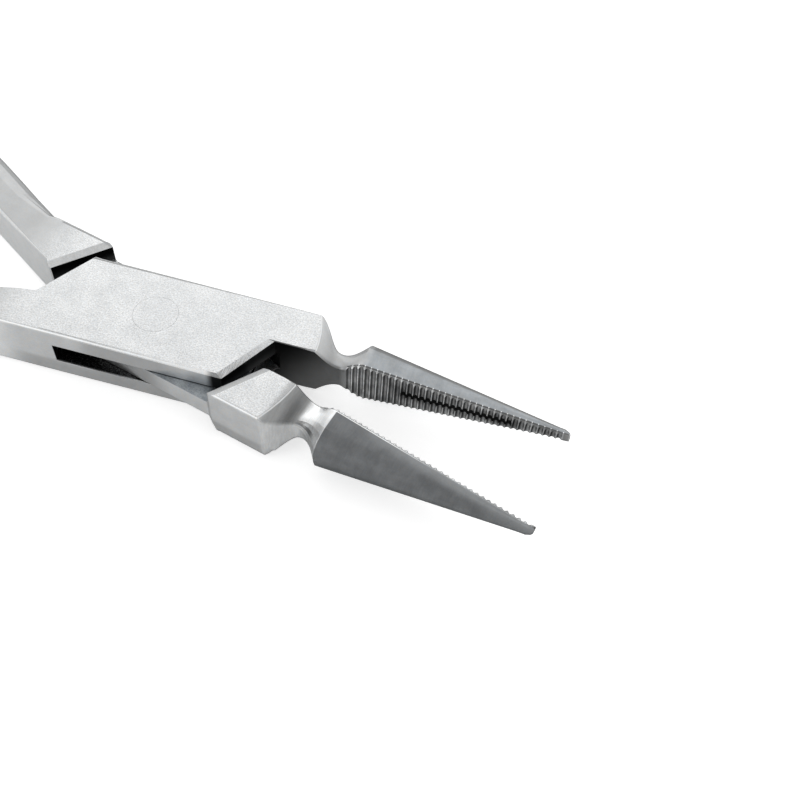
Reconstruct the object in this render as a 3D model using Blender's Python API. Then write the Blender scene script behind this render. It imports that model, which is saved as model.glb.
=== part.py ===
"""Root tip extraction forceps: a box joint with long slender jaws and plain bow handles.

Each half is built closed in its own plan, with X towards the tip, its jaw on the +Y side and Z = 0
at half thickness. The male half is mirrored, and both halves are turned about the pivot to the
opening of the photograph. Lengths are in millimetres until a mesh is written.
"""

import math

import bmesh
import bpy
from mathutils import Matrix, Vector

MM = 0.001

# Overall sizes
THICKNESS = 7.0
OPENING_DEG = 14.32
OVERALL_LENGTH = 149.7
TIP_X = 47.1
HANDLE_SPREAD = 54.5
BOX_FAR_Y = 5.95
BOX_NEAR_Y = 5.95
EDGE = 0.32

# Box joint
SLOT_GAP = 0.1
TONGUE_HALF = 1.2
TONGUE_SIDE_Y = 5.5
TONGUE_RADIUS = 11.3
SLOT_RADIUS = 11.5
SLOT_POCKET_X = 14.5
SLOT_POCKET_Y = 0.15
STEP_ANGLE = 30.0
STEP_FRONT_ANGLE = 28.0
PLATE_END = 11.6
PLATE_CHAMFER = 0.7
CHAMFER_DROP = 0.35
STEP_REAR = 12.1
STEP_FRONT = 12.3
STEP_CHAMFER = 0.85
STEP_FOOT = 0.35
STEP_FOOT_Z = 1.8
STEP_FLARE = 0.8
STEP_FLARE_Z = 3.15

# Pivot pin
PIN_RADIUS = 2.5
PIN_FIT = 0.02
PIN_RUNNING = 0.05
ROUND_FACETS = 64

# Shoulders and neck
SHOULDER_X = 16.9
SHOULDER_Y = 5.75
SHOULDER_END_X = 17.35
SHOULDER_SKEW = 0.9
SHOULDER_BOW = 0.22
SHOULDER_LEAN = 0.5
FEMALE_INNER_Y = 0.42
MALE_INNER_Y = -0.27
NECK_X = 20.55
NECK_TOP_X = 21.1
NECK_SIDE_Y = 2.9
NECK_HALF = 1.6
NECK_ROUND = 1.0
NECK_ROUND_DROP = 0.85
HEEL_X = 23.5
HEEL_LEAN = 0.6
HEEL_TOP_X = 23.65
HEEL_Y = 5.2
HEEL_HALF = 2.85

# Jaws
PARTING_HEEL = 0.3
PARTING_TIP = -0.1
BITE_GAP = 0.02
JAW_STOCK = 0.05
JAW_EDGE = 0.5
JAW_EDGE_DROP = 0.24
JAW_ROUND = 0.65
JAW_DROP = 0.9
JAW_TAPER_X = 45.8
JAW_TAPER_WIDTH = 1.3
JAW_TAPER_HALF = 0.5
TIP_WIDTH = 0.85
TIP_HALF = 0.3
CROWN = 0.96
HEEL_LEVEL = 0.84
HEEL_RIDGE = 0.35

# Serrations
TEETH_X = 21.85
TEETH_END_X = 46.4
TOOTH_PITCH = 0.7
TOOTH_LAND = 0.11
TOOTH_DEPTH = 0.27
TOOTH_FULLNESS = 0.75
GROOVE_X = 34.4
GROOVE_LENGTH = 12.4
GROOVE_DEPTH = 0.5
GROOVE_WIDTH = 0.7

# Handles
ARM_START_X = -21.0
ARM_HALF = 3.25
ARM_OUTER_Y = -7.0
FEMALE_ARM_Y = -2.4
MALE_ARM_Y = -1.7
BOX_REAR_X = -18.8
NOTCH_Y = -0.85
MALE_NOTCH_Y = 0.66
MALE_NOTCH_FALL = 1.72
HANDLE_WIDTH = 5.8
HANDLE_END_WIDTH = 5.0
HANDLE_SLOPE_IN = -0.37
HANDLE_SLOPE_OUT = 0.34
ARM_ROUND = 2.0
ARM_DROP = 2.6
HANDLE_ROUND = 2.6
HANDLE_DROP = 3.1
HANDLE_INNER_EDGE = 0.4
HANDLE_END_ROUND = 2.6

CORNER_STEPS = 6
TOP_STEPS = 4

HANDLE_END_X = TIP_X - OVERALL_LENGTH
HALF_TURN = math.radians(OPENING_DEG / 2)
HANDLE_END_Y = (
    HANDLE_END_WIDTH / 2
    - (HANDLE_SPREAD / 2 + HANDLE_END_X * math.sin(HALF_TURN)) / math.cos(HALF_TURN)
)


def clear_scene():
    for obj in list(bpy.data.objects):
        bpy.data.objects.remove(obj, do_unlink=True)


def steel(name, colour, roughness):
    material = bpy.data.materials.new(name)
    material.use_nodes = True
    shader = material.node_tree.nodes["Principled BSDF"]
    shader.inputs["Base Color"].default_value = (*colour, 1.0)
    shader.inputs["Roughness"].default_value = roughness
    shader.inputs["Metallic"].default_value = 1.0
    return material


def add_object(name, bm, material=None, recalculate=True):
    if recalculate:
        bmesh.ops.recalc_face_normals(bm, faces=bm.faces)
    bm.transform(Matrix.Diagonal((MM, MM, MM, 1.0)))
    mesh = bpy.data.meshes.new(name)
    bm.to_mesh(mesh)
    bm.free()
    obj = bpy.data.objects.new(name, mesh)
    bpy.context.scene.collection.objects.link(obj)
    if material:
        mesh.materials.append(material)
    return obj


def lerp(a, b, t):
    return a + (b - a) * t


def hermite(y0, y1, m0, m1, length, t):
    """Cubic from y0 to y1 with end slopes m0 and m1."""
    return (
        (2 * t**3 - 3 * t**2 + 1) * y0
        + (t**3 - 2 * t**2 + t) * length * m0
        + (-2 * t**3 + 3 * t**2) * y1
        + (t**3 - t**2) * length * m1
    )


# A knot is (x, y, bevel before, bevel after, drop): a point of one side of the plan, the plan
# width of the edge rounding on the stretches before and after it, and its height


def sample(knots, x):
    """The knot at x, interpolated on the side's polyline."""
    for a, b in zip(knots, knots[1:]):
        if a[0] - 1e-9 <= x <= b[0] + 1e-9:
            t = (x - a[0]) / (b[0] - a[0])
            if t < 1e-6:
                return a
            if t > 1 - 1e-6:
                return b
            width = lerp(a[3], b[2], t)
            return (x, lerp(a[1], b[1], t), width, width, lerp(a[4], b[4], t))
    raise ValueError(x)


def paired(low, high):
    """Both sides with a knot at every x that either of them has."""
    xs = sorted({round(k[0], 6) for k in low + high})
    return [sample(low, x) for x in xs], [sample(high, x) for x in xs]


def inset(knots, sign):
    """The top edge of a side: each knot moved inwards by its bevel, mitred at a corner."""
    points = [Vector((k[0], k[1])) for k in knots]
    result = []
    for i, knot in enumerate(knots):
        before = points[i] - points[i - 1] if i else points[1] - points[0]
        after = points[i + 1] - points[i] if i < len(points) - 1 else before
        n0 = sign * Vector((-before.y, before.x)).normalized()
        n1 = sign * Vector((-after.y, after.x)).normalized()
        turn = n0.x * n1.y - n0.y * n1.x
        if abs(turn) > 0.14 and n0.dot(n1) > -0.5:
            d0 = n0.dot(points[i]) + knot[2]
            d1 = n1.dot(points[i]) + knot[3]
            result.append(
                Vector(((d0 * n1.y - d1 * n0.y) / turn, (n0.x * d1 - n1.x * d0) / turn))
            )
        else:
            normal = (n0 + n1).normalized()
            result.append(points[i] + normal * (knot[2] + knot[3]) / 2)
    return result


def inset_straight(knots, sign):
    """The top edge of a side where each knot only moves across the plan."""
    return [Vector((k[0], k[1] + sign * k[2])) for k in knots]


def ring(low, low_top, high, high_top, half_low, half_high, under, bow, lean, flat):
    """Points round one section, from the high side's wall over the top to its wall below.

    Under widens and deepens the high side's lower edge, the bow pushes the middle forward, and
    the lean does so with the high side's foot. A flat low edge is a chamfer, not a rounding.
    """
    quarter = [i / CORNER_STEPS for i in range(CORNER_STEPS + 1)]
    wide, deep = under

    def corner(knot, top, half, t, widen=1.0, deepen=1.0, chamfer=False):
        wall = Vector((knot[0], knot[1]))
        drop = min(knot[4] * deepen, half * 0.98)
        inner = wall + (top - wall) * widen
        back, up = (1 - t, t) if chamfer else (math.cos(math.pi / 2 * t), math.sin(math.pi / 2 * t))
        point = inner + (wall - inner) * back
        return point.x, point.y, half - drop + drop * up

    def across(start, stop):
        """Points between two top edges, pushed forward in the middle by the bow."""
        for i in range(1, TOP_STEPS):
            t = i / TOP_STEPS
            x, y, z = (lerp(a, b, t) for a, b in zip(start, stop))
            yield x + bow * 4 * t * (1 - t), y, z

    points = [corner(high, high_top, half_high, t) for t in quarter]
    rest = [corner(low, low_top, half_low, t, chamfer=flat) for t in reversed(quarter)]
    points += list(across(points[-1], rest[0])) + rest
    below = [corner(low, low_top, half_low, t, chamfer=flat) for t in quarter]
    rest = [corner(high, high_top, half_high, t, wide, deep) for t in reversed(quarter)]
    bow = 0.0
    below += list(across(below[-1], rest[0])) + rest
    points += [(x, y, -z) for x, y, z in below]
    result = []
    for x, y, z in points:
        foot = lean * (half_high - z) / (2 * half_high)
        result.append((x + foot * (y - low[1]) / (high[1] - low[1]), y, z))
    return result


def loft(name, rings, material):
    bm = bmesh.new()
    loops = [[bm.verts.new(p) for p in points] for points in rings]
    count = len(loops[0])
    for a, b in zip(loops, loops[1:]):
        for i in range(count):
            j = (i + 1) % count
            bm.faces.new((a[i], a[j], b[j], b[i]))
    bm.faces.new(loops[0])
    bm.faces.new(loops[-1])
    bmesh.ops.remove_doubles(bm, verts=bm.verts, dist=0.002)
    return add_object(name, bm, material)


def stack(name, levels):
    """A cutter from outlines at rising heights, each with the same number of points."""
    bm = bmesh.new()
    loops = [[bm.verts.new((x, y, z)) for x, y in line] for z, line in levels]
    count = len(loops[0])
    for a, b in zip(loops, loops[1:]):
        for i in range(count):
            j = (i + 1) % count
            bm.faces.new((a[i], a[j], b[j], b[i]))
    bm.faces.new(loops[0])
    bm.faces.new(loops[-1])
    return add_object(name, bm)


def cylinder(name, radius, half, material=None):
    bm = bmesh.new()
    bmesh.ops.create_cone(
        bm,
        cap_ends=True,
        segments=ROUND_FACETS,
        radius1=radius,
        radius2=radius,
        depth=2 * half,
    )
    return add_object(name, bm, material)


def cut(obj, cutter):
    cutter.hide_render = True
    cutter.display_type = "WIRE"
    modifier = obj.modifiers.new(cutter.name, "BOOLEAN")
    modifier.operation = "DIFFERENCE"
    modifier.solver = "EXACT"
    modifier.object = cutter


def handle_knots(inner_start):
    """Low (outer) and high (inner) side of a handle, from its end to the box."""
    low, high = [], []
    length = ARM_START_X - HANDLE_END_X
    start = (inner_start + ARM_OUTER_Y) / 2
    steps = 22
    for i in range(steps):
        t = 1 - i / steps
        x = ARM_START_X - length * t
        centre = hermite(start, HANDLE_END_Y, HANDLE_SLOPE_IN, HANDLE_SLOPE_OUT, length, t)
        grown = min(1.0, t / 0.06)
        width = lerp(inner_start - ARM_OUTER_Y, HANDLE_WIDTH, grown)
        width = lerp(width, HANDLE_END_WIDTH, max(0.0, (t - 0.6) / 0.4))
        round_y = lerp(ARM_ROUND, HANDLE_ROUND, grown)
        drop = lerp(ARM_DROP, HANDLE_DROP, grown)
        low.append((x, centre - width / 2, round_y, round_y, drop))
        high.append((x, centre + width / 2, HANDLE_INNER_EDGE, HANDLE_INNER_EDGE, HANDLE_INNER_EDGE))
    return low, high


def half_height(x):
    """Half thickness along the handle and box, a little less on the arm just behind the box."""
    full = THICKNESS / 2
    dip = math.exp(-(((x + 25.0) / 5.0) ** 2))
    return lerp(full, ARM_HALF, dip)


def parting(x):
    return lerp(PARTING_HEEL, PARTING_TIP, (x - TEETH_X) / (TIP_X - TEETH_X))


def rise(t):
    """From 0 to 1 with a level start and a steep end."""
    return 1 - math.cos(math.pi / 2 * t)


def wave(t):
    """From 0 to 1, level at both ends."""
    return (1 - math.cos(math.pi * t)) / 2


def front_knots(inner, side):
    """Neck and jaw from the shoulder's end on.

    Returns low and high knots, half heights at both, and each section's bow and lean.
    """
    low, high, halves, shifts = [], [], [], []
    top = THICKNESS / 2
    steps = 9
    for i in range(steps + 1):
        t = i / steps
        x_low = lerp(SHOULDER_END_X + SHOULDER_SKEW, NECK_TOP_X, t)
        x_high = lerp(SHOULDER_END_X, NECK_X, t)
        y_high = lerp(SHOULDER_Y, NECK_SIDE_Y, wave(t))
        across, drop = lerp(EDGE, NECK_ROUND, t), lerp(EDGE, NECK_ROUND_DROP, t)
        low.append((x_low, inner, 0.2, 0.2, 0.2))
        high.append((x_high, y_high, across, across, drop))
        half = lerp(NECK_HALF, top, rise(1 - t))
        halves.append((half, half))
        shifts.append((SHOULDER_BOW * (1 - t), SHOULDER_LEAN * (1 - t)))
    heel_width = HEEL_Y - side * parting(HEEL_X)
    for i in range(1, steps + 1):
        t = i / steps
        x_low = lerp(NECK_TOP_X, HEEL_TOP_X, t)
        x_high = lerp(NECK_X, HEEL_X, t)
        y_high = lerp(NECK_SIDE_Y, HEEL_Y, rise(t))
        across = lerp(NECK_ROUND, JAW_ROUND * heel_width, t)
        drop = lerp(NECK_ROUND_DROP, JAW_DROP * HEEL_HALF, t)
        edge = lerp(0.2, JAW_EDGE, t)
        face = side * parting(x_low) - JAW_STOCK
        drop_low = lerp(0.2, JAW_EDGE_DROP, t)
        low.append((x_low, lerp(inner, face, min(1.0, 4 * t)), edge, edge, drop_low))
        high.append((x_high, y_high, across, across, drop))
        climb = lerp(wave(min(1.0, t / HEEL_LEVEL)), rise(t), HEEL_RIDGE)
        half_low = lerp(NECK_HALF, HEEL_HALF, climb)
        halves.append((half_low, lerp(NECK_HALF, HEEL_HALF * CROWN, rise(t))))
        shifts.append((0.0, HEEL_LEAN * t))
    steps = 12
    for i in range(1, steps + 1):
        t = i / steps
        width = lerp(heel_width, JAW_TAPER_WIDTH, t)
        half = lerp(HEEL_HALF, JAW_TAPER_HALF, t)
        x = lerp(HEEL_TOP_X, JAW_TAPER_X, t)
        edge = min(JAW_EDGE_DROP, half / 3)
        low.append((x, side * parting(x) - JAW_STOCK, JAW_EDGE, JAW_EDGE, edge))
        x = lerp(HEEL_X, JAW_TAPER_X, t)
        across = JAW_ROUND * width
        high.append((x, side * parting(x) + width, across, across, JAW_DROP * half))
        halves.append((half, half * CROWN))
        shifts.append((0.0, HEEL_LEAN * (1 - t)))
    for angle in (30, 60, 80):
        s = math.sin(math.radians(angle))
        c = math.cos(math.radians(angle))
        x = lerp(JAW_TAPER_X, TIP_X, s)
        width = lerp(TIP_WIDTH * 0.7, JAW_TAPER_WIDTH, c)
        half = lerp(TIP_HALF, JAW_TAPER_HALF, c)
        edge = lerp(0.1, JAW_EDGE, c) * 0.8
        across = lerp(half, JAW_ROUND * JAW_TAPER_WIDTH, c) * 0.9
        low.append((x, side * parting(x) - JAW_STOCK, edge, edge, min(edge, half / 3)))
        high.append((x, side * parting(x) + width, across, across, JAW_DROP * half))
        halves.append((half, half * CROWN))
        shifts.append((0.0, 0.0))
    return low, high, halves, shifts


def bar(name, low, high, inner, side, material, under=(1.0, 1.0)):
    """A half's blank: handle, box plan and front joined in one loft."""
    low, high = paired(low, high)
    halves = [(half_height(k[0]), half_height(k[0])) for k in low]
    front_low, front_high, front_halves, front_shifts = front_knots(inner, side)
    rear_count = len(low)
    shifts = [(0.0, 0.0)] * rear_count + front_shifts
    low, high, halves = low + front_low, high + front_high, halves + front_halves
    split = rear_count + 1
    low_top = inset(low, 1)[:split] + inset_straight(low[split:], 1)
    high_top = inset(high, -1)[:split] + inset_straight(high[split:], -1)
    rings = []
    for i in range(len(low)):
        rounded = under if 10.0 < low[i][0] and i <= rear_count + 2 else (1.0, 1.0)
        shape = (rounded, *shifts[i], low[i][0] > 9.5)
        rings.append(ring(low[i], low_top[i], high[i], high_top[i], *halves[i], *shape))
    return loft(name, list(domed(rings[0])) + rings, material)


def domed(first):
    """Rings that shrink from the handle's last section to its rounded end, outermost first."""
    middle = sum(y for _, y, _ in first) / len(first)
    for angle in (78, 56, 34, 14):
        out = math.sin(math.radians(angle))
        size = math.cos(math.radians(angle))
        tall = lerp(1.0, size, 0.6)
        yield [(x - HANDLE_END_ROUND * out, lerp(middle, y, size), z * tall) for x, y, z in first]


def on_step(distance, angle, y):
    """x where the line at this distance from the pivot, with this normal angle, has this y."""
    a = math.radians(angle)
    return (distance - y * math.sin(a)) / math.cos(a)


def arc(radius, start, stop, steps=8):
    for i in range(steps + 1):
        a = math.radians(lerp(start, stop, i / steps))
        yield radius * math.cos(a), radius * math.sin(a)


def female_sides():
    low, high = handle_knots(FEMALE_ARM_Y)
    low += [
        (-19.7, -6.42, 1.2, 1.2, 1.7),
        (BOX_REAR_X, -BOX_NEAR_Y - 0.12, EDGE, EDGE, EDGE),
        (on_step(PLATE_END, -STEP_ANGLE, -BOX_NEAR_Y), -BOX_NEAR_Y, EDGE, PLATE_CHAMFER, CHAMFER_DROP),
        (on_step(PLATE_END, -STEP_ANGLE, FEMALE_INNER_Y), FEMALE_INNER_Y, PLATE_CHAMFER, 0.08, 0.1),
        (SHOULDER_X, FEMALE_INNER_Y, 0.08, 0.08, 0.1),
    ]
    notch_x = -on_step(PLATE_END, STEP_ANGLE, NOTCH_Y)
    rear_x = -on_step(PLATE_END, STEP_ANGLE, BOX_FAR_Y)
    high += [
        (-17.8, NOTCH_Y - 0.73, 0.2, 0.2, 0.2),
        (-15.6, NOTCH_Y - 0.24, 0.12, 0.12, 0.12),
        (notch_x, NOTCH_Y, 0.1, 0.2, 0.15),
        (rear_x, BOX_FAR_Y, 0.2, 0.2, 0.2),
        (rear_x + 1.0, BOX_FAR_Y, EDGE, EDGE, EDGE),
        (SHOULDER_X, SHOULDER_Y, EDGE, EDGE, EDGE),
    ]
    return low, high


def male_sides():
    low, high = handle_knots(MALE_ARM_Y)
    foot_x = -on_step(STEP_REAR, -STEP_ANGLE, -TONGUE_SIDE_Y)
    low += [
        (-19.7, -6.35, 1.2, 1.2, 1.7),
        (BOX_REAR_X, -BOX_NEAR_Y, EDGE, EDGE, EDGE),
        (foot_x - 0.9, -BOX_NEAR_Y + 0.05, EDGE, EDGE, EDGE),
        (foot_x - 0.2, -BOX_NEAR_Y + 0.1, 0.0, 0.0, 0.0),
        (foot_x + 0.6, -TONGUE_SIDE_Y, 0.0, 0.0, 0.0),
    ]
    corner = math.degrees(math.asin(TONGUE_SIDE_Y / TONGUE_RADIUS))
    inner = math.degrees(math.asin(-MALE_INNER_Y / TONGUE_RADIUS))
    for x, y in arc(TONGUE_RADIUS, -corner, -inner):
        low.append((x, y, 0.0, 0.0, 0.0))
    low += [
        (TONGUE_RADIUS + 0.5, MALE_INNER_Y, 0.08, 0.08, 0.1),
        (SHOULDER_X, MALE_INNER_Y, 0.08, 0.08, 0.1),
    ]
    high += [
        (-18.9, MALE_NOTCH_Y - MALE_NOTCH_FALL, 0.2, 0.2, 0.2),
        (-15.5, MALE_NOTCH_Y - 0.7, 0.12, 0.12, 0.12),
        (-on_step(STEP_REAR, -STEP_ANGLE, MALE_NOTCH_Y) - 0.3, MALE_NOTCH_Y, 0.0, 0.0, 0.0),
    ]
    rise = math.degrees(math.asin(MALE_NOTCH_Y / TONGUE_RADIUS))
    for x, y in arc(TONGUE_RADIUS, 180 - rise, 180 - corner):
        high.append((x, y, 0.0, 0.0, 0.0))
    foot_x = on_step(STEP_FRONT, STEP_FRONT_ANGLE, TONGUE_SIDE_Y)
    high += [
        (foot_x - 0.3, TONGUE_SIDE_Y, 0.0, 0.0, 0.0),
        (foot_x + 0.2, SHOULDER_Y, 0.0, 0.0, 0.0),
        (foot_x + 0.9, SHOULDER_Y, EDGE, EDGE, EDGE),
        (SHOULDER_X, SHOULDER_Y, EDGE, EDGE, EDGE),
    ]
    return low, high


def slot_cutter():
    """The window between the female half's plates, open where the tongue's ends swing out."""
    half = TONGUE_HALF + SLOT_GAP
    mouth = math.degrees(math.asin(BOX_NEAR_Y / SLOT_RADIUS))
    line = [(-SLOT_RADIUS * math.cos(math.radians(mouth)), -8.0)]
    line += list(arc(SLOT_RADIUS, 180 + mouth, 192))
    line += [(-SLOT_POCKET_X, -SLOT_POCKET_Y), (-16.0, -SLOT_POCKET_Y), (-16.0, 8.0)]
    line += [(-x, -y) for x, y in line]
    return stack("slot", [(-half, line), (half, line)])


def recess_cutter(name, up):
    """Clears one side of the male half down to the tongue, with a chamfer along each step.

    The front step has a sloping foot; below, it also flares towards the underside.
    """

    def outline(grow, front_grow=0.0):
        front = [
            (on_step(STEP_FRONT + grow + front_grow, STEP_FRONT_ANGLE, y), y) for y in (-9.0, 9.0)
        ]
        rear = [(-on_step(STEP_REAR + grow, -STEP_ANGLE, y), y) for y in (9.0, -9.0)]
        return front + rear

    top = THICKNESS / 2
    slope = STEP_CHAMFER / CHAMFER_DROP
    flare = STEP_FLARE if up < 0 else 0.0
    levels = [
        (up * TONGUE_HALF, outline(0.0, -STEP_FOOT)),
        (up * STEP_FOOT_Z, outline(0.0, flare / 3)),
        (up * STEP_FLARE_Z, outline(0.0, flare)),
        (up * (top + 0.5), outline(slope * (CHAMFER_DROP + 0.5), flare / 2)),
    ]
    return stack(name, levels)


def teeth_cutter(name, side, phase):
    """Trims the gripping face to the parting plane and rounds out the cross grooves."""

    def face(x):
        return side * parting(x) + BITE_GAP

    start = NECK_TOP_X - 0.5
    line = [(start, -9.0), (start, face(start))]
    width = TOOTH_PITCH - TOOTH_LAND
    count = int((TEETH_END_X - TEETH_X) / TOOTH_PITCH)
    steps = 6
    for i in range(count):
        for j in range(steps + 1):
            x = TEETH_X + (i + phase) * TOOTH_PITCH + width * j / steps
            deep = math.sin(math.pi * min(j, steps - j) / steps) ** TOOTH_FULLNESS
            line.append((x, face(x) + TOOTH_DEPTH * deep))
    line += [(TIP_X + 1, face(TIP_X + 1)), (TIP_X + 1, -9.0)]
    return stack(name, [(-5.0, line), (5.0, line)])


def groove_cutter(name, side):
    """A slim spindle for the groove along the middle of the gripping face."""
    bm = bmesh.new()
    bmesh.ops.create_uvsphere(bm, u_segments=16, v_segments=16, radius=1.0)
    size = (GROOVE_LENGTH / 2, GROOVE_DEPTH, GROOVE_WIDTH / 2)
    turn = Matrix.Rotation(math.pi / 2, 4, "Y")
    bm.transform(turn)
    bm.transform(Matrix.Diagonal((*size, 1.0)))
    y = side * parting(GROOVE_X) - 0.03
    tilt = math.atan(side * (parting(GROOVE_X + 1) - parting(GROOVE_X)))
    bm.transform(Matrix.Translation((GROOVE_X, y, 0)) @ Matrix.Rotation(tilt, 4, "Z"))
    return add_object(name, bm, recalculate=False)


def place(obj, turn_deg, mirrored, parent=None):
    if mirrored:
        obj.data.transform(Matrix.Diagonal((1, -1, 1, 1)))
        obj.data.flip_normals()
    if parent:
        obj.parent = parent
        return
    obj.location = (0, 0, THICKNESS / 2 * MM)
    obj.rotation_euler = (0, 0, math.radians(turn_deg))


def shade(obj):
    obj.data.shade_smooth()
    obj.data.set_sharp_from_angle(angle=math.radians(32))


def main():
    clear_scene()
    satin = steel("satin_steel", (0.62, 0.63, 0.63), 0.38)
    pin_steel = steel("pin_steel", (0.66, 0.66, 0.66), 0.3)

    low, high = female_sides()
    female = bar("female_half", low, high, FEMALE_INNER_Y, 1, satin)
    female_cutters = [
        slot_cutter(),
        cylinder("plate_bore", PIN_RADIUS + PIN_FIT, THICKNESS),
        teeth_cutter("female_teeth", 1, 0.0),
        groove_cutter("female_groove", 1),
    ]
    low, high = male_sides()
    male = bar("male_half", low, high, MALE_INNER_Y, -1, satin, (1.9, 3.6))
    male_cutters = [
        recess_cutter("recess_above", 1),
        recess_cutter("recess_below", -1),
        cylinder("tongue_bore", PIN_RADIUS + PIN_RUNNING, THICKNESS),
        teeth_cutter("male_teeth", -1, 0.5),
        groove_cutter("male_groove", -1),
    ]
    pin = cylinder("pivot_pin", PIN_RADIUS, THICKNESS / 2, pin_steel)

    place(female, OPENING_DEG / 2, False)
    place(male, -OPENING_DEG / 2, True)
    place(pin, OPENING_DEG / 2, False)
    for half, cutters, mirrored in ((female, female_cutters, False), (male, male_cutters, True)):
        for cutter in cutters:
            place(cutter, 0.0, mirrored, half)
            cut(half, cutter)
    for obj in (female, male, pin):
        shade(obj)


main()
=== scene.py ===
import math

import bpy
from mathutils import Matrix, Vector


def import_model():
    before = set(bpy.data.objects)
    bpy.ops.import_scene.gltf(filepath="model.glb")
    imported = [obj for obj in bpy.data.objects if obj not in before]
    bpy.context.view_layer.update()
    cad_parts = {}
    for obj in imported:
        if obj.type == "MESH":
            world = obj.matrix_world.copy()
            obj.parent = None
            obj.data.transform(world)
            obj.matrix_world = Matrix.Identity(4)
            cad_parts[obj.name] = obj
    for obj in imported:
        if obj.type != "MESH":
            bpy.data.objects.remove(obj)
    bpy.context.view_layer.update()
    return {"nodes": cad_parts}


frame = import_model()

HALF_OPENING = math.radians(7.16)
PIVOT = Vector((0.0, 0.0, 0.0035))
FEMALE, MALE = 1, -1


# Node trees


class Tree:
    """Short calls for the nodes of a material or a world."""

    def __init__(self, owner):
        owner.use_nodes = True
        self.owner = owner
        self.nodes = owner.node_tree.nodes
        self.links = owner.node_tree.links

    def make(self, kind, **settings):
        node = self.nodes.new("ShaderNode" + kind)
        for key, value in settings.items():
            setattr(node, key, value)
        return node

    def put(self, socket, value):
        """Link a socket to a value's output, or set it to a number or colour."""
        if isinstance(value, bpy.types.NodeSocket):
            self.links.new(value, socket)
        elif isinstance(value, tuple) and len(value) == 3 and socket.type == "RGBA":
            socket.default_value = (*value, 1.0)
        else:
            socket.default_value = value

    def math(self, operation, a, b=0.0):
        node = self.make("Math", operation=operation)
        self.put(node.inputs[0], a)
        self.put(node.inputs[1], b)
        return node.outputs[0]

    def add(self, a, b):
        return self.math("ADD", a, b)

    def minus(self, a, b):
        return self.math("SUBTRACT", a, b)

    def size(self, a):
        return self.math("ABSOLUTE", a)

    def larger(self, a, b):
        return self.math("MAXIMUM", a, b)

    def times(self, a, *others):
        for b in others:
            a = self.math("MULTIPLY", a, b)
        return a

    def away(self, value):
        """1 - value."""
        return self.minus(1.0, value)

    def ramp(self, value, low, high, to_low=0.0, to_high=1.0):
        """Smooth step of value from low to high."""
        node = self.make("MapRange", interpolation_type="SMOOTHSTEP")
        self.put(node.inputs["Value"], value)
        self.put(node.inputs["From Min"], low)
        self.put(node.inputs["From Max"], high)
        self.put(node.inputs["To Min"], to_low)
        self.put(node.inputs["To Max"], to_high)
        return node.outputs[0]

    def over(self, value, limit, soft):
        return self.ramp(value, limit - soft, limit + soft)

    def under(self, value, limit, soft):
        return self.ramp(value, limit - soft, limit + soft, 1.0, 0.0)

    def window(self, value, low, high, soft):
        return self.times(self.over(value, low, soft), self.under(value, high, soft))

    def mix(self, factor, a, b):
        node = self.make("Mix", data_type="RGBA")
        self.put(node.inputs["Factor"], factor)
        self.put(node.inputs[6], a)
        self.put(node.inputs[7], b)
        return node.outputs[2]

    def vector(self, operation, a, b, socket=1):
        node = self.make("VectorMath", operation=operation)
        self.links.new(a, node.inputs[0])
        self.put(node.inputs[socket], b)
        return node

    def scaled(self, colour, factor):
        return self.vector("SCALE", colour, factor, "Scale").outputs[0]

    def product(self, a, b):
        return self.vector("MULTIPLY", a, b).outputs[0]

    def dot(self, a, direction):
        return self.vector("DOT_PRODUCT", a, direction).outputs["Value"]

    def turned(self, vector, turn):
        node = self.make("VectorRotate", rotation_type="Z_AXIS")
        self.links.new(vector, node.inputs["Vector"])
        node.inputs["Angle"].default_value = -turn
        return node.outputs[0]

    def split(self, vector):
        node = self.make("SeparateXYZ")
        self.links.new(vector, node.inputs[0])
        return node.outputs

    def noise(self, vector, scale, detail, stretch=(1.0, 1.0, 1.0), turn=0.0):
        mapping = self.make("Mapping")
        self.links.new(vector, mapping.inputs["Vector"])
        mapping.inputs["Rotation"].default_value = (0.0, 0.0, turn)
        mapping.inputs["Scale"].default_value = stretch
        node = self.make("TexNoise")
        self.links.new(mapping.outputs[0], node.inputs["Vector"])
        node.inputs["Scale"].default_value = scale
        node.inputs["Detail"].default_value = detail
        node.inputs["Roughness"].default_value = 0.65
        return node.outputs["Fac"]

    def varied(self, noise, low=0.0, high=1.0):
        """From low to high over the noise's usual range."""
        return self.ramp(noise, 0.3, 0.7, low, high)


def grey(level, blue=0.0):
    """A steel colour of this brightness, a little towards blue."""
    return (level * (0.99 - blue), level, level * (1.005 + blue))


# Steel of the halves and the pin. Lengths are in millimetres along a half's own closed axes:
# x towards the tip, y outwards on its own side, z up from half thickness.

HALF_THICKNESS = 3.5
MM_PER_M = 1000.0
BRUSH_TURN = -0.9


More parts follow.
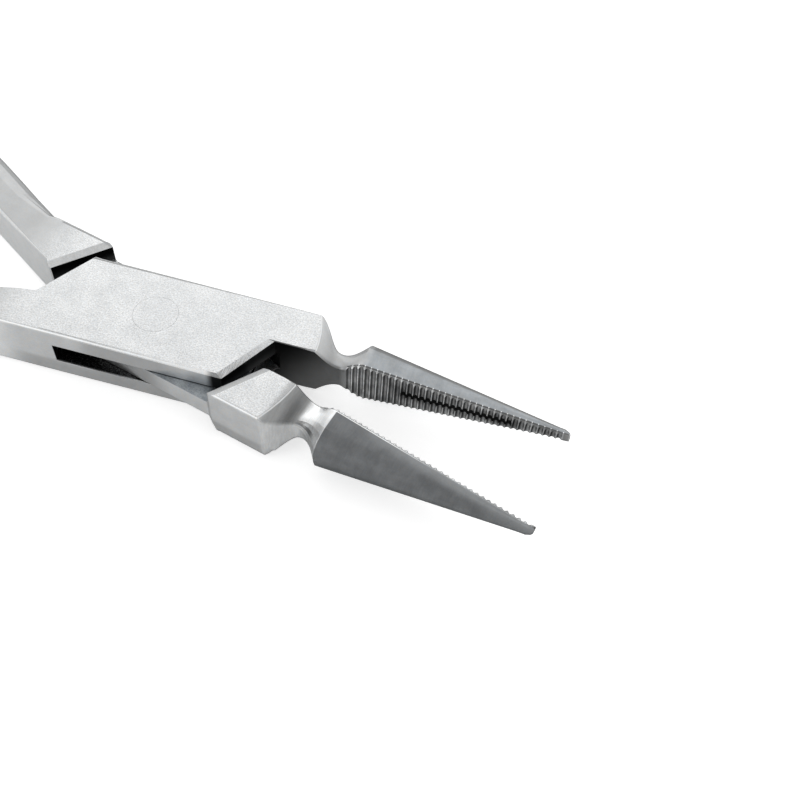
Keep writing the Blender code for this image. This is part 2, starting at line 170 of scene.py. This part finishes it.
class Half:
    """A half's material, with its own coordinates, facet directions, noises and colour so far."""

    def __init__(self, name, turn, side):
        self.tree = tree = Tree(bpy.data.materials.new(name))
        self.turn = turn
        self.side = side
        self.place = self.own_place()
        self.x, self.own_y, height = tree.split(self.place)
        self.normal_x, self.normal_y, self.normal_z = self.own_normal()
        self.y = tree.times(self.own_y, side)
        self.outwards = tree.times(self.normal_y, side)
        self.z = tree.minus(height, HALF_THICKNESS)
        self.up = tree.size(self.normal_z)
        self.grain = tree.noise(self.place, 6.0, 5.0)
        self.blots = tree.noise(self.place, 0.55, 2.0)
        self.colour = None

    def own_place(self):
        coordinates = self.tree.make("TexCoord").outputs["Object"]
        return self.tree.scaled(self.tree.turned(coordinates, self.turn), MM_PER_M)

    def own_normal(self):
        """The facets' true normal, which stays with the half in every pose."""
        tree = self.tree
        geometry = tree.make("NewGeometry")
        own = tree.make("VectorTransform", vector_type="NORMAL",
                        convert_from="WORLD", convert_to="OBJECT")
        tree.links.new(geometry.outputs["True Normal"], own.inputs[0])
        return tree.split(tree.turned(own.outputs[0], self.turn))

    def paint(self, mask, colour):
        self.colour = self.tree.mix(mask, self.colour, colour)


# Broad faces: blasted tops, darker arm tops, ground walls with painted light and shade, and
# painted shade lines along the top edges

BLASTED, BLASTED_PATCH = grey(0.675, 0.005), grey(0.72)
ARM_TOP, ARM_TOP_X = grey(0.46), -17.0
WALL, WALL_FOOT, WALL_FOOT_Z = grey(0.72), grey(0.56), -1.3
BOX_WALL_SHADE = {FEMALE: grey(0.51), MALE: grey(0.48)}
BOX_WALL_X = -6.0, 4.0
ARM_WALL_LIGHT = {FEMALE: grey(0.92), MALE: grey(1.0)}
ARM_WALL_X = -15.0
ARM_BACK_SHADE, ARM_BACK_X = grey(0.45), -12.5
NEAR_EDGE_SHADE_LINE, NEAR_LINE_X, NEAR_LINE_Y = grey(0.42), (-11.0, 12.0), (5.66, 5.76)
FAR_EDGE_SHADE_LINE, FAR_LINE_X, FAR_LINE_Y = grey(0.3), (-18.0, 17.6), (5.5, 6.2)
FLAT = 0.93


def broad_faces(half):
    tree, x = half.tree, half.x
    patches = tree.noise(half.place, 0.22, 3.0)
    top = tree.mix(tree.ramp(patches, 0.35, 0.6), BLASTED, BLASTED_PATCH)
    top = tree.mix(tree.under(x, ARM_TOP_X, 4.0), top, ARM_TOP)
    # Wall tone: darker towards the foot; painted shade on the box's walls, painted light on the
    # arms' walls, painted shade on the arm walls that face the back
    wall = tree.mix(tree.under(half.z, WALL_FOOT_Z, 0.4), WALL, WALL_FOOT)
    wall = tree.mix(tree.window(x, *BOX_WALL_X, 2.0), wall, BOX_WALL_SHADE[half.side])
    wall = tree.mix(tree.under(x, ARM_WALL_X, 2.0), wall, ARM_WALL_LIGHT[half.side])
    back = tree.times(tree.over(half.normal_y, 0.2, 0.2), tree.under(x, ARM_BACK_X, 0.3))
    wall = tree.mix(back, wall, ARM_BACK_SHADE)
    # Painted shade: dark lines along the top's edges, near and behind.
    line = tree.window(tree.size(half.y), *NEAR_LINE_Y, 0.02)
    line = tree.times(tree.under(half.normal_y, 0.5, 0.1), line)
    line = tree.times(line, tree.window(x, *NEAR_LINE_X, 0.5))
    top = tree.mix(line, top, NEAR_EDGE_SHADE_LINE)
    behind = tree.window(half.own_y, *FAR_LINE_Y, 0.03)
    behind = tree.times(behind, tree.window(x, *FAR_LINE_X, 0.2))
    top = tree.mix(behind, top, FAR_EDGE_SHADE_LINE)
    half.colour = tree.mix(tree.over(half.up, FLAT, 0.03), wall, top)


# Edges of the broad faces: a painted highlight on the front edges, painted shade on the edges
# behind and on the bottom edge

EDGE_UP, EDGE_Z, EDGE_END_X = (0.55, 0.86), 3.0, 18.0
EDGE_FRONT_HIGHLIGHT, EDGE_BACK_SHADE = grey(0.97), grey(0.3)
FOOT, FOOT_X, FOOT_Z = grey(0.25), (-60.0, 17.5), -3.22


def edges(half):
    tree = half.tree
    edge = tree.times(tree.window(half.up, *EDGE_UP, 0.02), tree.over(half.z, EDGE_Z, 0.05),
                      tree.under(half.x, EDGE_END_X, 0.1))
    half.front = tree.times(edge, tree.under(half.normal_y, -0.3, 0.1))
    # Painted shade on the edges facing the back, painted highlight on those facing the front.
    half.paint(tree.times(edge, tree.over(half.normal_y, 0.3, 0.1)), EDGE_BACK_SHADE)
    half.paint(half.front, EDGE_FRONT_HIGHLIGHT)
    # Painted shade on the bottom edge.
    bottom_edge_shade = tree.times(tree.under(half.z, FOOT_Z, 0.05), tree.under(half.up, 0.9, 0.03),
                      tree.window(half.x, *FOOT_X, 0.2))
    half.paint(bottom_edge_shade, FOOT)


# Steps of the box joint: painted shade on the step walls, brushed ramps on the plates, and the
# tongue's top painted dark and blotchy as painted shade

STEP_X, STEP_FACING, STEP_SHADE_Z = (9.3, 14.6), (0.8, 0.93), 2.0
STEP_SHADE_TOP, STEP_SHADE_DEEP = grey(0.015), grey(0.06)
RAMP_X, RAMP_UP = (8.0, 15.0), (0.8, 0.93)
PLATE_RAMP, MALE_RAMP = (grey(0.42), grey(0.84)), grey(0.36)
RAMP_BRUSH_TURN = -1.047
TONGUE_X, TONGUE_Z = -5.0, (1.1, 1.3)
TONGUE_SHADE = grey(0.25, 0.08), grey(0.40, 0.05)


def joint_steps(half):
    tree, x = half.tree, half.x
    steps = tree.times(tree.window(tree.size(x), *STEP_X, 0.2), tree.under(half.up, 0.3, 0.1))
    steps = tree.times(steps, tree.window(tree.size(half.normal_x), *STEP_FACING, 0.02))
    ramp_band = tree.window(x, *RAMP_X, 0.2)
    if half.side == FEMALE:
        brush = tree.noise(half.place, 1.0, 4.0, (12.0, 0.8, 1.0), RAMP_BRUSH_TURN - half.turn)
        ramp = tree.mix(tree.ramp(brush, 0.38, 0.62), *PLATE_RAMP)
        facing = tree.over(half.normal_x, 0.25, 0.05)
    else:
        ramp = MALE_RAMP
        facing = tree.under(half.normal_x, -0.2, 0.05)
    half.paint(tree.times(facing, tree.window(half.up, *RAMP_UP, 0.01), ramp_band), ramp)
    if half.side == MALE:
        # The tongue's top in the gap, painted dark and blotchy as painted shade.
        tongue = tree.times(tree.window(half.z, *TONGUE_Z, 0.02),
                            tree.over(half.normal_z, 0.9, 0.03), tree.over(x, TONGUE_X, 0.1))
        half.paint(tongue, tree.mix(tree.varied(half.blots), *TONGUE_SHADE))
    # Painted shade on the step walls, darkest at the top.
    half.paint(steps, tree.mix(tree.under(half.z, STEP_SHADE_Z, 0.6), STEP_SHADE_TOP, STEP_SHADE_DEEP))


# Neck: on the near half a flank in painted light and shade, a painted dark valley, a painted
# highlight on the rise before the heel and a painted dark fold; the far neck painted darker
# towards the heel, and a painted highlight along the brink

NECK_X = 17.6, 24.0
FEMALE_NECK_SHADE, FEMALE_NECK_X = (grey(0.68), grey(0.40)), 19.2
FLANK_LIGHT_AND_SHADE = grey(0.73), grey(0.44)
VALLEY_SHADE, VALLEY_X = grey(0.20), (18.9, 19.9)
RISE_HIGHLIGHT, RISE_X = grey(0.95), 20.3
RISE_END_HIGHLIGHT, RISE_END_X = grey(0.84), 22.1
FOLD_SHADE, FOLD_X, FOLD_FACING = grey(0.2), (20.3, 22.4), (0.5, 0.78)
BRINK_HIGHLIGHT, BRINK_X, BRINK_Z = grey(0.97), (16.2, 19.0), (3.35, 3.47)


def male_neck(half):
    tree, x, up = half.tree, half.x, half.up
    # Painted light and shade: the flank by how far it faces up, a dark valley, a bright rise and a
    # dark fold; the streaks are the finish.
    tone = tree.mix(tree.over(up, 0.4, 0.25), *FLANK_LIGHT_AND_SHADE)
    valley = tree.times(tree.window(x, *VALLEY_X, 0.6), tree.over(up, 0.35, 0.3))
    valley = tree.times(valley, tree.ramp(half.y, -1.0, 1.8, 0.45, 1.0))
    tone = tree.mix(valley, tone, VALLEY_SHADE)
    rise = tree.times(tree.over(x, RISE_X, 0.3), tree.under(half.outwards, 0.5, 0.12))
    tone = tree.mix(rise, tone, RISE_HIGHLIGHT)
    tone = tree.mix(tree.times(tree.over(x, RISE_END_X, 0.4), rise), tone, RISE_END_HIGHLIGHT)
    fold = tree.times(tree.window(half.outwards, *FOLD_FACING, 0.1),
                      tree.window(x, *FOLD_X, 0.6), tree.over(up, 0.4, 0.2))
    tone = tree.mix(fold, tone, FOLD_SHADE)
    streaks = tree.noise(half.place, 1.2, 3.0, (5.0, 0.5, 0.5))
    return tree.scaled(tone, tree.varied(streaks, 0.93, 1.07))


def neck(half):
    tree = half.tree
    if half.side == FEMALE:
        # Painted shade: the far neck darker towards the heel.
        tone = tree.mix(tree.over(half.x, FEMALE_NECK_X, 1.0), *FEMALE_NECK_SHADE)
    else:
        tone = male_neck(half)
    half.paint(tree.window(half.x, *NECK_X, 0.4), tone)
    # Painted highlight along the brink of the shoulder's end.
    brink = tree.times(tree.window(half.z, *BRINK_Z, 0.02), tree.window(half.up, 0.5, 0.9, 0.03),
                       tree.window(half.x, *BRINK_X, 0.1))
    half.paint(brink, BRINK_HIGHLIGHT)


# Jaw: brushed across, with a painted highlight along the heel's line, the near jaw painted darker
# than the far one as painted shade, and painted shade on the far jaw's rounded edge

HEEL_X, HEEL_LEAN = 23.7, -0.05
HEEL_START = {FEMALE: (0.25, 0.5), MALE: (0.0, 0.04)}
BROW_HIGHLIGHT, BROW_BAND = grey(0.8), (-0.16, 0.0)
BLADE_SHADED_ON_MALE = {FEMALE: (grey(0.304, 0.045), grey(0.3328, 0.0315)),
         MALE: (grey(0.18525, 0.03), grey(0.2028, 0.021))}
ROUNDED_EDGE_SHADE, ROUNDED_UP = grey(0.24), (0.6, 0.93)


def jaw(half):
    tree, up = half.tree, half.up
    heel = tree.add(tree.times(half.z, HEEL_LEAN), HEEL_X)
    half.beyond = tree.minus(half.x, heel)
    if half.side == MALE:
        # Painted highlight along the near jaw's heel line.
        brow = tree.times(tree.window(half.beyond, *BROW_BAND, 0.03), tree.over(up, 0.2, 0.2))
        half.paint(brow, BROW_HIGHLIGHT)
    brushed = tree.noise(half.place, 1.6, 4.0, (3.0, 0.4, 0.4))
    # The brushed streaks and blots are the finish; the male's blade is painted darker than the
    # female's as painted shade.
    blade = tree.mix(tree.varied(brushed), *BLADE_SHADED_ON_MALE[half.side])
    blade = tree.scaled(blade, tree.varied(half.blots, 0.93, 1.06))
    if half.side == FEMALE:
        # Painted shade on the far jaw's rounded outer edge.
        blade = tree.mix(tree.window(up, *ROUNDED_UP, 0.04), blade, ROUNDED_EDGE_SHADE)
    half.paint(tree.over(half.beyond, *HEEL_START[half.side]), blade)


# Inner faces and the slot in painted shade, and painted light on the pin's ring

INNER_X = 8.5
INNER_SHADE, INNER_FADE_X = (grey(0.02), grey(0.21)), (13.0, 19.5)
INNER_END_SHADE, INNER_END_X = grey(0.36), 21.2
SLOT_Z, SLOT_RADIUS, SLOT_SIDE_Y, TONGUE_REAR_X = (-1.33, 1.33), 11.44, 5.84, -4.5
SLOT_SHADE = grey(0.02), grey(0.2)
PIN_RING_LIGHT, PIN_RING_RADIUS = grey(1.0), (2.35, 2.65)


def inner_faces(half):
    tree, x = half.tree, half.x
    inwards = tree.times(half.outwards, -1.0)
    # Painted shade on the inner faces, darkest towards the pivot.
    inner = tree.times(tree.over(inwards, 0.7, 0.15), tree.over(x, INNER_X, 0.5))
    slanted = tree.add(x, tree.times(half.z, -0.5))
    dark = tree.mix(tree.ramp(slanted, *INNER_FADE_X), *INNER_SHADE)
    dark = tree.mix(tree.over(x, INNER_END_X, 0.25), dark, INNER_END_SHADE)
    half.paint(inner, dark)
    half.radius = tree.math("SQRT", tree.add(tree.times(x, x), tree.times(half.y, half.y)))
    # Painted light: the sloped faces round the pin's ring painted white over their shade.
    ring = tree.times(tree.window(half.radius, *PIN_RING_RADIUS, 0.02),
                      tree.over(half.z, 3.2, 0.05), tree.under(half.up, 0.97, 0.01))
    half.paint(ring, PIN_RING_LIGHT)
    # Painted shade inside the slot, with lighter grainy specks on its up-facing floor.
    inside = tree.times(tree.window(half.z, *SLOT_Z, 0.01),
                        tree.under(half.radius, SLOT_RADIUS, 0.02))
    if half.side == FEMALE:
        inside = tree.times(inside, tree.under(tree.size(half.y), SLOT_SIDE_Y, 0.04))
    else:
        inside = tree.times(inside, tree.under(x, TONGUE_REAR_X, 0.5))
    specks = tree.times(tree.over(half.normal_z, 0.8, 0.1), tree.ramp(half.grain, 0.45, 0.7))
    half.paint(inside, tree.mix(specks, *SLOT_SHADE))


# Gripping face: cross grooves with painted light and shade on their walls and a painted highlight
# on the lands, and painted shade in the groove along the middle

TEETH_X = 21.85
TOOTH_PITCH = 0.7
TOOTH_GROOVE = 0.84
TOOTH_PHASE = {FEMALE: 0.0, MALE: 0.5}
PARTING_HEEL = 0.3
PARTING_SLOPE = -0.4 / 25.25
BITE_GAP = 0.02
GROOVE_X, GROOVE_REACH, GROOVE_HALF, GROOVE_DEPTH = 34.4, 6.3, 0.33, 0.75
TOOTH_FAR_SHADE, TOOTH_MIDDLE, TOOTH_NEAR_LIGHT = grey(0.10), grey(0.34), grey(0.46)
LAND_HIGHLIGHT, GROOVE_SHADE = grey(0.58), grey(0.01)
STRIP_SHADE, STRIP_DEPTH = grey(0.15), (0.28, 0.48)
RIM_HIGHLIGHT, RIM_DEPTH = grey(0.92), (0.40, 0.50)
PAINTED_LIGHT_BAND, TEETH_DEPTH = grey(0.33, 0.02), 0.33


def tooth_colour(half, land):
    """The cross grooves' walls, painted lighter where they face the heel and darker where they
    face the tip as painted light and shade, with a painted highlight on the lands; lighter teeth
    at the heel, darker ones at the tip and darker towards the bottom.
    """
    tree, x = half.tree, half.x
    colour = tree.mix(tree.over(half.normal_x, 0.3, 0.2), TOOTH_MIDDLE, TOOTH_FAR_SHADE)
    colour = tree.mix(tree.under(half.normal_x, -0.3, 0.2), colour, TOOTH_NEAR_LIGHT)
    colour = tree.mix(land, colour, LAND_HIGHLIGHT)
    colour = tree.scaled(colour, tree.ramp(x, 33.0, 46.0, 1.0, 0.6))
    colour = tree.scaled(colour, tree.ramp(x, 22.0, 29.0, 1.65, 1.12))
    lower = tree.ramp(half.z, -2.6, -1.0, 0.55, 1.0)
    return tree.scaled(colour, tree.times(lower, tree.varied(half.blots, 0.7, 1.25)))


def gripping_face(half):
    tree, x = half.tree, half.x
    parting = tree.add(tree.times(x, PARTING_SLOPE), PARTING_HEEL - TEETH_X * PARTING_SLOPE)
    half.depth = tree.minus(tree.minus(half.y, BITE_GAP), tree.times(parting, half.side))
    toothed = tree.over(x, TEETH_X, 0.03)
    start = -TEETH_X / TOOTH_PITCH - TOOTH_PHASE[half.side]
    phase = tree.math("FRACT", tree.add(tree.times(x, 1.0 / TOOTH_PITCH), start))
    land = tree.over(phase, TOOTH_GROOVE, 0.01)
    middle = tree.size(half.z)
    along = tree.size(tree.add(x, -GROOVE_X))
    reach = tree.under(along, GROOVE_REACH, 0.1)
    near = tree.under(along, GROOVE_REACH - 0.5, 3.5)
    # Painted shade on the teeth near the groove along the middle.
    shading = tree.larger(tree.ramp(middle, 0.3, 1.3, 0.62, 1.0), tree.away(near))
    half.paint(tree.times(toothed, tree.under(half.depth, TEETH_DEPTH, 0.02)),
               tree.scaled(tooth_colour(half, land), shading))
    toothed_top = tree.times(toothed, tree.over(half.up, 0.5, 0.1))
    rim = tree.times(toothed_top, tree.window(half.depth, *RIM_DEPTH, 0.03))
    # Painted shade in the arches of the far jaw's strip, painted light on the near jaw's band
    # along the gripping edge, and a painted highlight on the rims.
    if half.side == FEMALE:
        strip = tree.times(toothed_top, tree.window(half.depth, *STRIP_DEPTH, 0.02))
        half.paint(tree.times(strip, tree.away(land)), STRIP_SHADE)
        rim = tree.times(rim, land)
    else:
        lighter = tree.times(toothed_top, tree.over(half.depth, TEETH_DEPTH, 0.02),
                             tree.ramp(half.depth, 0.35, 1.9, 1.0, 0.0), tree.over(x, 28.0, 5.0))
        half.paint(lighter, PAINTED_LIGHT_BAND)
        rim = tree.times(rim, tree.under(x, 33.0, 4.0))
    half.paint(rim, RIM_HIGHLIGHT)
    # Painted shade in the groove along the middle.
    groove = tree.times(tree.under(middle, GROOVE_HALF, 0.03),
                        tree.under(half.depth, GROOVE_DEPTH, 0.05), reach)
    half.paint(groove, GROOVE_SHADE)


# Grain of the blasted and ground steel, and edges that are rounded for the light alone

WARM, COOL = (1.02, 1.0, 0.97), (0.975, 1.0, 1.025)
SPECULAR = grey(0.55)
BEVEL = 0.00006, 0.0009
BEVEL_NECK_X, BEVEL_RING = (18.6, 22.6), (2.2, 2.8)
RELIEF_STRENGTH, RELIEF_HEIGHT = 0.12, 0.00003


def grained(half):
    """The colour with the speckle, blots and hues of its finish."""
    tree, grain = half.tree, half.grain
    broad = tree.times(tree.over(half.up, FLAT, 0.03), tree.under(half.x, EDGE_END_X, 0.3),
                       tree.over(half.x, ARM_TOP_X, 2.0))
    weave = tree.noise(half.place, 2.4, 3.0, (1.0, 4.0, 1.0), BRUSH_TURN + half.turn)
    blasted = tree.times(tree.ramp(grain, 0.35, 0.65, 0.80, 1.14), tree.varied(weave, 0.90, 1.07))
    ground = tree.varied(grain, 0.95, 1.04)
    speckle = tree.add(tree.times(broad, blasted), tree.times(tree.away(broad), ground))
    speckle = tree.times(speckle, tree.varied(half.blots, 0.96, 1.03))
    hue = tree.noise(half.place, 3.0, 3.0, (1.0, 3.0, 1.0), BRUSH_TURN + half.turn)
    hue = tree.mix(tree.ramp(hue, 0.35, 0.65), WARM, COOL)
    return tree.product(tree.scaled(half.colour, speckle), hue)


def bevel_radius(half):
    """Wide on the jaw's round back and the neck, and nothing at the pin's ring."""
    tree = half.tree
    smooth = tree.times(tree.ramp(half.beyond, 0.3, 1.6), tree.over(half.depth, 1.0, 0.4))
    smooth = tree.add(smooth, tree.times(tree.window(half.x, *BEVEL_NECK_X, 0.4), 0.4))
    smooth = tree.ramp(smooth, 0.0, 1.0, *BEVEL)
    return tree.times(smooth, tree.away(tree.window(half.radius, *BEVEL_RING, 0.05)))


def finish(half):
    tree = half.tree
    shader = tree.nodes["Principled BSDF"]
    tree.put(shader.inputs["Base Color"], grained(half))
    tree.put(shader.inputs["Specular Tint"], SPECULAR)
    # Front edges are half metallic, which brightens their painted highlight.
    tree.put(shader.inputs["Metallic"], tree.away(tree.times(half.front, 0.5)))
    tree.put(shader.inputs["Roughness"], tree.varied(half.grain, 0.34, 0.42))
    rounded = tree.make("Bevel", samples=6)
    tree.put(rounded.inputs["Radius"], bevel_radius(half))
    relief = tree.make("Bump")
    relief.inputs["Strength"].default_value = RELIEF_STRENGTH
    relief.inputs["Distance"].default_value = RELIEF_HEIGHT
    tree.links.new(half.grain, relief.inputs["Height"])
    tree.links.new(rounded.outputs[0], relief.inputs["Normal"])
    tree.links.new(relief.outputs[0], shader.inputs["Normal"])


def steel(name, turn, side):
    """Satin steel: blasted flat faces, ground walls, brushed jaws, painted light and shade on many
    faces, and painted shade on the inner faces.
    """
    half = Half(name, turn, side)
    for part in (broad_faces, edges, joint_steps, neck, jaw, inner_faces, gripping_face, finish):
        part(half)
    return half.tree.owner


def dress(node, material):
    for slot in frame["nodes"][node].material_slots:
        slot.material = material


# Floor, light and camera

FLOOR_SIZE, FLOOR_Z = 2.0, -0.0002
FLOOR_TO_CAMERA, FLOOR_TO_GLOSSY, FLOOR_TO_TRANSMISSION = 0.6, 0.17, 0.37
WORLD_TO_GLOSSY = 0.25
WHITE = (1.0, 1.0, 1.0)
STUDIO_SIDE = Vector((-0.35, 0.85, 0.0))
LAMP_AIM = PIVOT + Vector((0.012, 0.0, 0.0))
CAMERA_ANGLES = 53.616, 5.769, 17.888
CAMERA_PLACE = Vector((0.02771, -0.06929, 0.08621))


def link(name, data):
    obj = bpy.data.objects.new(name, data)
    bpy.context.scene.collection.objects.link(obj)
    return obj


def floor():
    """Pale and diffuse, with just enough light of its own to be white to the camera."""
    mesh = bpy.data.meshes.new("floor")
    corners = [(-1, -1), (1, -1), (1, 1), (-1, 1)]
    mesh.from_pydata([(x * FLOOR_SIZE, y * FLOOR_SIZE, 0) for x, y in corners], [], [(0, 1, 2, 3)])
    obj = link("floor", mesh)
    obj.location.z = FLOOR_Z
    tree = Tree(bpy.data.materials.new("floor_white"))
    shader = tree.nodes["Principled BSDF"]
    tree.put(shader.inputs["Base Color"], (0.8, 0.8, 0.8))
    tree.put(shader.inputs["Roughness"], 0.9)
    emission = tree.make("Emission")
    path = tree.make("LightPath").outputs
    seen = tree.larger(tree.times(path["Is Camera Ray"], FLOOR_TO_CAMERA),
                       tree.times(path["Is Glossy Ray"], FLOOR_TO_GLOSSY))
    seen = tree.larger(seen, tree.times(path["Is Transmission Ray"], FLOOR_TO_TRANSMISSION))
    tree.put(emission.inputs["Strength"], seen)
    both = tree.make("AddShader")
    tree.links.new(shader.outputs[0], both.inputs[0])
    tree.links.new(emission.outputs[0], both.inputs[1])
    tree.links.new(both.outputs[0], tree.nodes["Material Output"].inputs["Surface"])
    mesh.materials.append(tree.owner)


def world():
    """White to the camera; for the object, a studio that is bright behind it and to its left."""
    tree = Tree(bpy.data.worlds.new("studio"))
    bpy.context.scene.world = tree.owner
    studio = tree.nodes["Background"]
    along = tree.dot(tree.make("TexCoord").outputs["Generated"], STUDIO_SIDE.normalized())
    level = tree.add(tree.ramp(along, 0.1, 0.6, 0.55, 0.95), tree.ramp(along, 0.6, 0.85, 0.0, 0.9))
    tree.put(studio.inputs["Strength"], level)
    tree.put(studio.inputs["Color"], WHITE)
    white = tree.make("Background")
    tree.put(white.inputs["Color"], WHITE)
    path = tree.make("LightPath").outputs
    seen = tree.larger(path["Is Camera Ray"], tree.times(path["Is Glossy Ray"], WORLD_TO_GLOSSY))
    both = tree.make("MixShader")
    tree.put(both.inputs["Fac"], tree.larger(seen, path["Is Transmission Ray"]))
    tree.links.new(studio.outputs[0], both.inputs[1])
    tree.links.new(white.outputs[0], both.inputs[2])
    tree.links.new(both.outputs[0], tree.nodes["World Output"].inputs["Surface"])


def softbox(name, direction, distance, size, power):
    light = bpy.data.lights.new(name, "AREA")
    light.shape = "RECTANGLE"
    light.size, light.size_y = size
    light.energy = power
    obj = link(name, light)
    toward = Vector(direction).normalized()
    obj.location = LAMP_AIM + toward * distance
    obj.rotation_euler = (-toward).to_track_quat("-Z", "Y").to_euler()


def camera():
    elevation, roll, yaw = (math.radians(angle) for angle in CAMERA_ANGLES)
    data = bpy.data.cameras.new("camera")
    data.sensor_width = 36.0
    data.lens = 44.06
    data.clip_start = 0.005
    obj = link("camera", data)
    turn = Matrix.Rotation(yaw, 3, "Z")
    tilt = Matrix.Rotation(math.pi / 2 - elevation, 3, "X")
    spin = Matrix.Rotation(roll, 3, "Z")
    place = (turn @ tilt @ spin).to_4x4()
    place.translation = turn @ CAMERA_PLACE + PIVOT
    obj.matrix_world = place
    bpy.context.scene.camera = obj


dress("female_half", steel("steel_female", HALF_OPENING, FEMALE))
dress("male_half", steel("steel_male", -HALF_OPENING, MALE))
dress("pivot_pin", steel("steel_pin", HALF_OPENING, FEMALE))

bpy.context.scene.view_settings.view_transform = "Standard"
floor()
world()
softbox("key", (-0.35, 0.5, 0.8), 0.5, (0.5, 0.4), 0.1)
softbox("edge", (-0.5, -0.6, 0.62), 0.5, (0.25, 0.2), 0.32)
camera()
